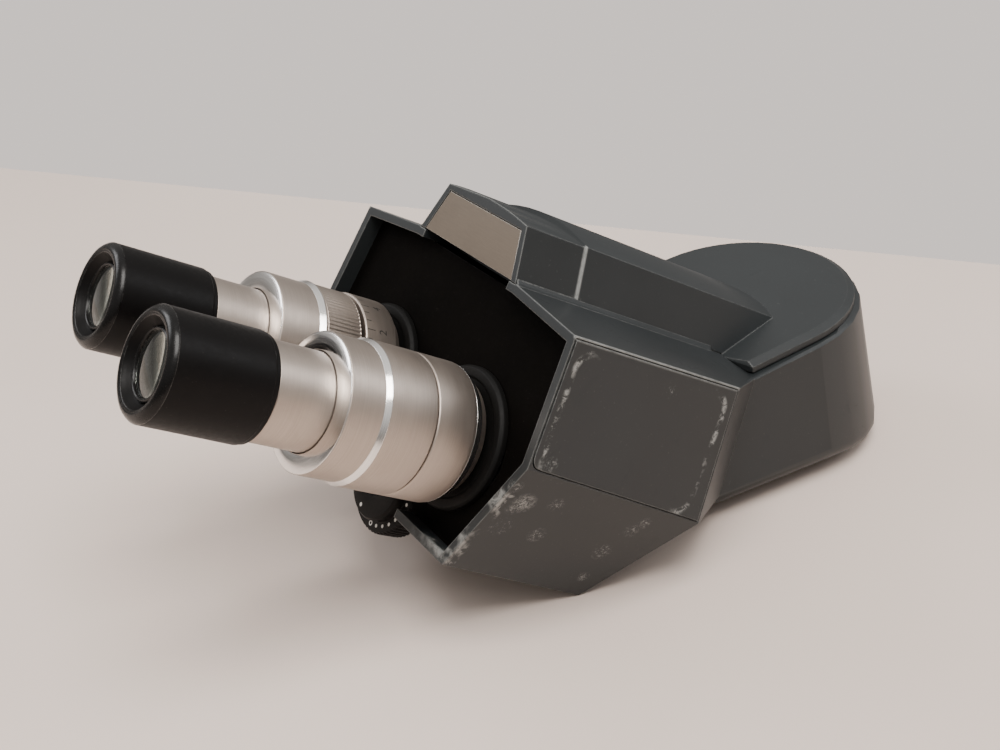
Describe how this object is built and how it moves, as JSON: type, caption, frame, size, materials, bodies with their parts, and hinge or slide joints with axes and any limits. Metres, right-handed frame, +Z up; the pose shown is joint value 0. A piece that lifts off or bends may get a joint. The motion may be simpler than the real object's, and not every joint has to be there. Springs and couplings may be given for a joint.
{
  "type": "binocular microscope head",
  "caption": "Binocular microscope head: cast hood with sliding eyetubes, eye-spacing dial, dioptre ring, round rear cap and mount ring underneath.",
  "frame": {"origin": "middle of the underside of the bounding box, on the table the head lies on", "axes": "+Z up from the table, -Y towards the eyepieces and the user, +X to the user's right"},
  "size_m": [0.1404, 0.2904, 0.1277],
  "materials": {
    "grey_paint": "satin dark grey enamel on a light alloy casting, worn bright along the edges",
    "plate": "blank satin plate",
    "black": "black anodised and matt lacquered",
    "silver": "satin turned, clear anodised",
    "steel": "turned",
    "cast": "bare milled casting",
    "brass": "cut teeth",
    "glass": "coated",
    "mirror": "front silvered"
  },
  "bodies": {
    "head": {"housing": "grey_paint", "top_cover": "grey_paint", "nameplate": "plate", "side_panel_right": "grey_paint", "side_panel_left": "grey_paint", "front_baffle": "black", "mount_ring": "steel", "mount_lens": "glass", "slide_frame": "cast", "upper_guide_rod": "steel", "lower_guide_rod": "steel", "splitter_front_prism": "glass", "splitter_rear_prism": "glass", "splitter_table": "cast", "inclination_mirror": "mirror", "inclination_mirror_block": "cast", "mount_mirror": "mirror", "mount_mirror_block": "cast"},
    "right_carriage": {"right_carriage": "cast", "right_prism": "glass", "right_prism_holder": "cast", "right_tube_collar": "black", "right_rack": "brass", "right_tube_core": "black", "right_base_ring": "silver", "right_tube_sleeve": "silver", "right_eyepiece_socket": "silver"},
    "right_eyepiece": {"right_eyepiece_cap": "black", "right_eyepiece_barrel": "steel", "right_eye_lens": "glass", "right_field_stop": "black", "right_field_lens": "glass"},
    "left_carriage": {"left_carriage": "cast", "left_prism": "glass", "left_prism_holder": "cast", "left_tube_collar": "black", "left_rack": "brass", "left_tube_core": "black", "left_scale_ring": "silver"},
    "left_focus": {"left_focus_sleeve": "silver", "left_eyepiece_socket": "silver"},
    "dioptre_ring": {"left_dioptre_ring": "silver"},
    "left_eyepiece": {"left_eyepiece_cap": "black", "left_eyepiece_barrel": "steel", "left_eye_lens": "glass", "left_field_stop": "black", "left_field_lens": "glass"},
    "dial": {"ipd_dial": "black", "dial_gear": "brass", "dial_shaft": "steel"},
    "transfer_gear": {"transfer_pinion": "brass", "transfer_shaft": "steel"}
  },
  "joints": [
    {"name": "right_tube_slide", "type": "slide", "parent": "head", "child": "right_carriage", "axis": [1, 0, 0], "range_m": [-0.0011, 0.0089]},
    {"name": "left_tube_slide", "type": "slide", "parent": "head", "child": "left_carriage", "axis": [1, 0, 0], "range_m": [-0.0089, 0.0011]},
    {"name": "dial_turn", "type": "hinge", "parent": "head", "child": "dial", "pos_m": [0, -0.06259, 0.03498], "axis": [0, -0.851, 0.5252], "range_deg": [-10.6, 85.1]},
    {"name": "transfer_turn", "type": "hinge", "parent": "head", "child": "transfer_gear", "pos_m": [0, -0.02565, 0.02628], "axis": [0, -0.851, 0.5252], "range_deg": [-85.1, 10.6]},
    {"name": "left_focus_slide", "type": "slide", "parent": "left_carriage", "child": "left_focus", "axis": [0, -0.851, 0.5252], "range_m": [-0.0009, 0.0071]},
    {"name": "dioptre_turn", "type": "hinge", "parent": "left_focus", "child": "dioptre_ring", "pos_m": [-0.0286, -0.06805, 0.07184], "axis": [0, -0.851, 0.5252], "range_deg": [-33.8, 266.3]},
    {"name": "right_eyepiece_lift", "type": "slide", "parent": "right_carriage", "child": "right_eyepiece", "axis": [0, -0.851, 0.5252], "range_m": [0, 0.03]},
    {"name": "left_eyepiece_lift", "type": "slide", "parent": "left_focus", "child": "left_eyepiece", "axis": [0, -0.851, 0.5252], "range_m": [0, 0.03]}
  ],
  "couplings": [
    {"joint": "left_tube_slide", "follows": "right_tube_slide", "ratio": -1},
    {"joint": "dial_turn", "follows": "right_tube_slide", "rad_per_m": 166.67},
    {"joint": "transfer_turn", "follows": "right_tube_slide", "rad_per_m": -166.67},
    {"joint": "dioptre_turn", "follows": "left_focus_slide", "rad_per_m": 654.5}
  ]
}
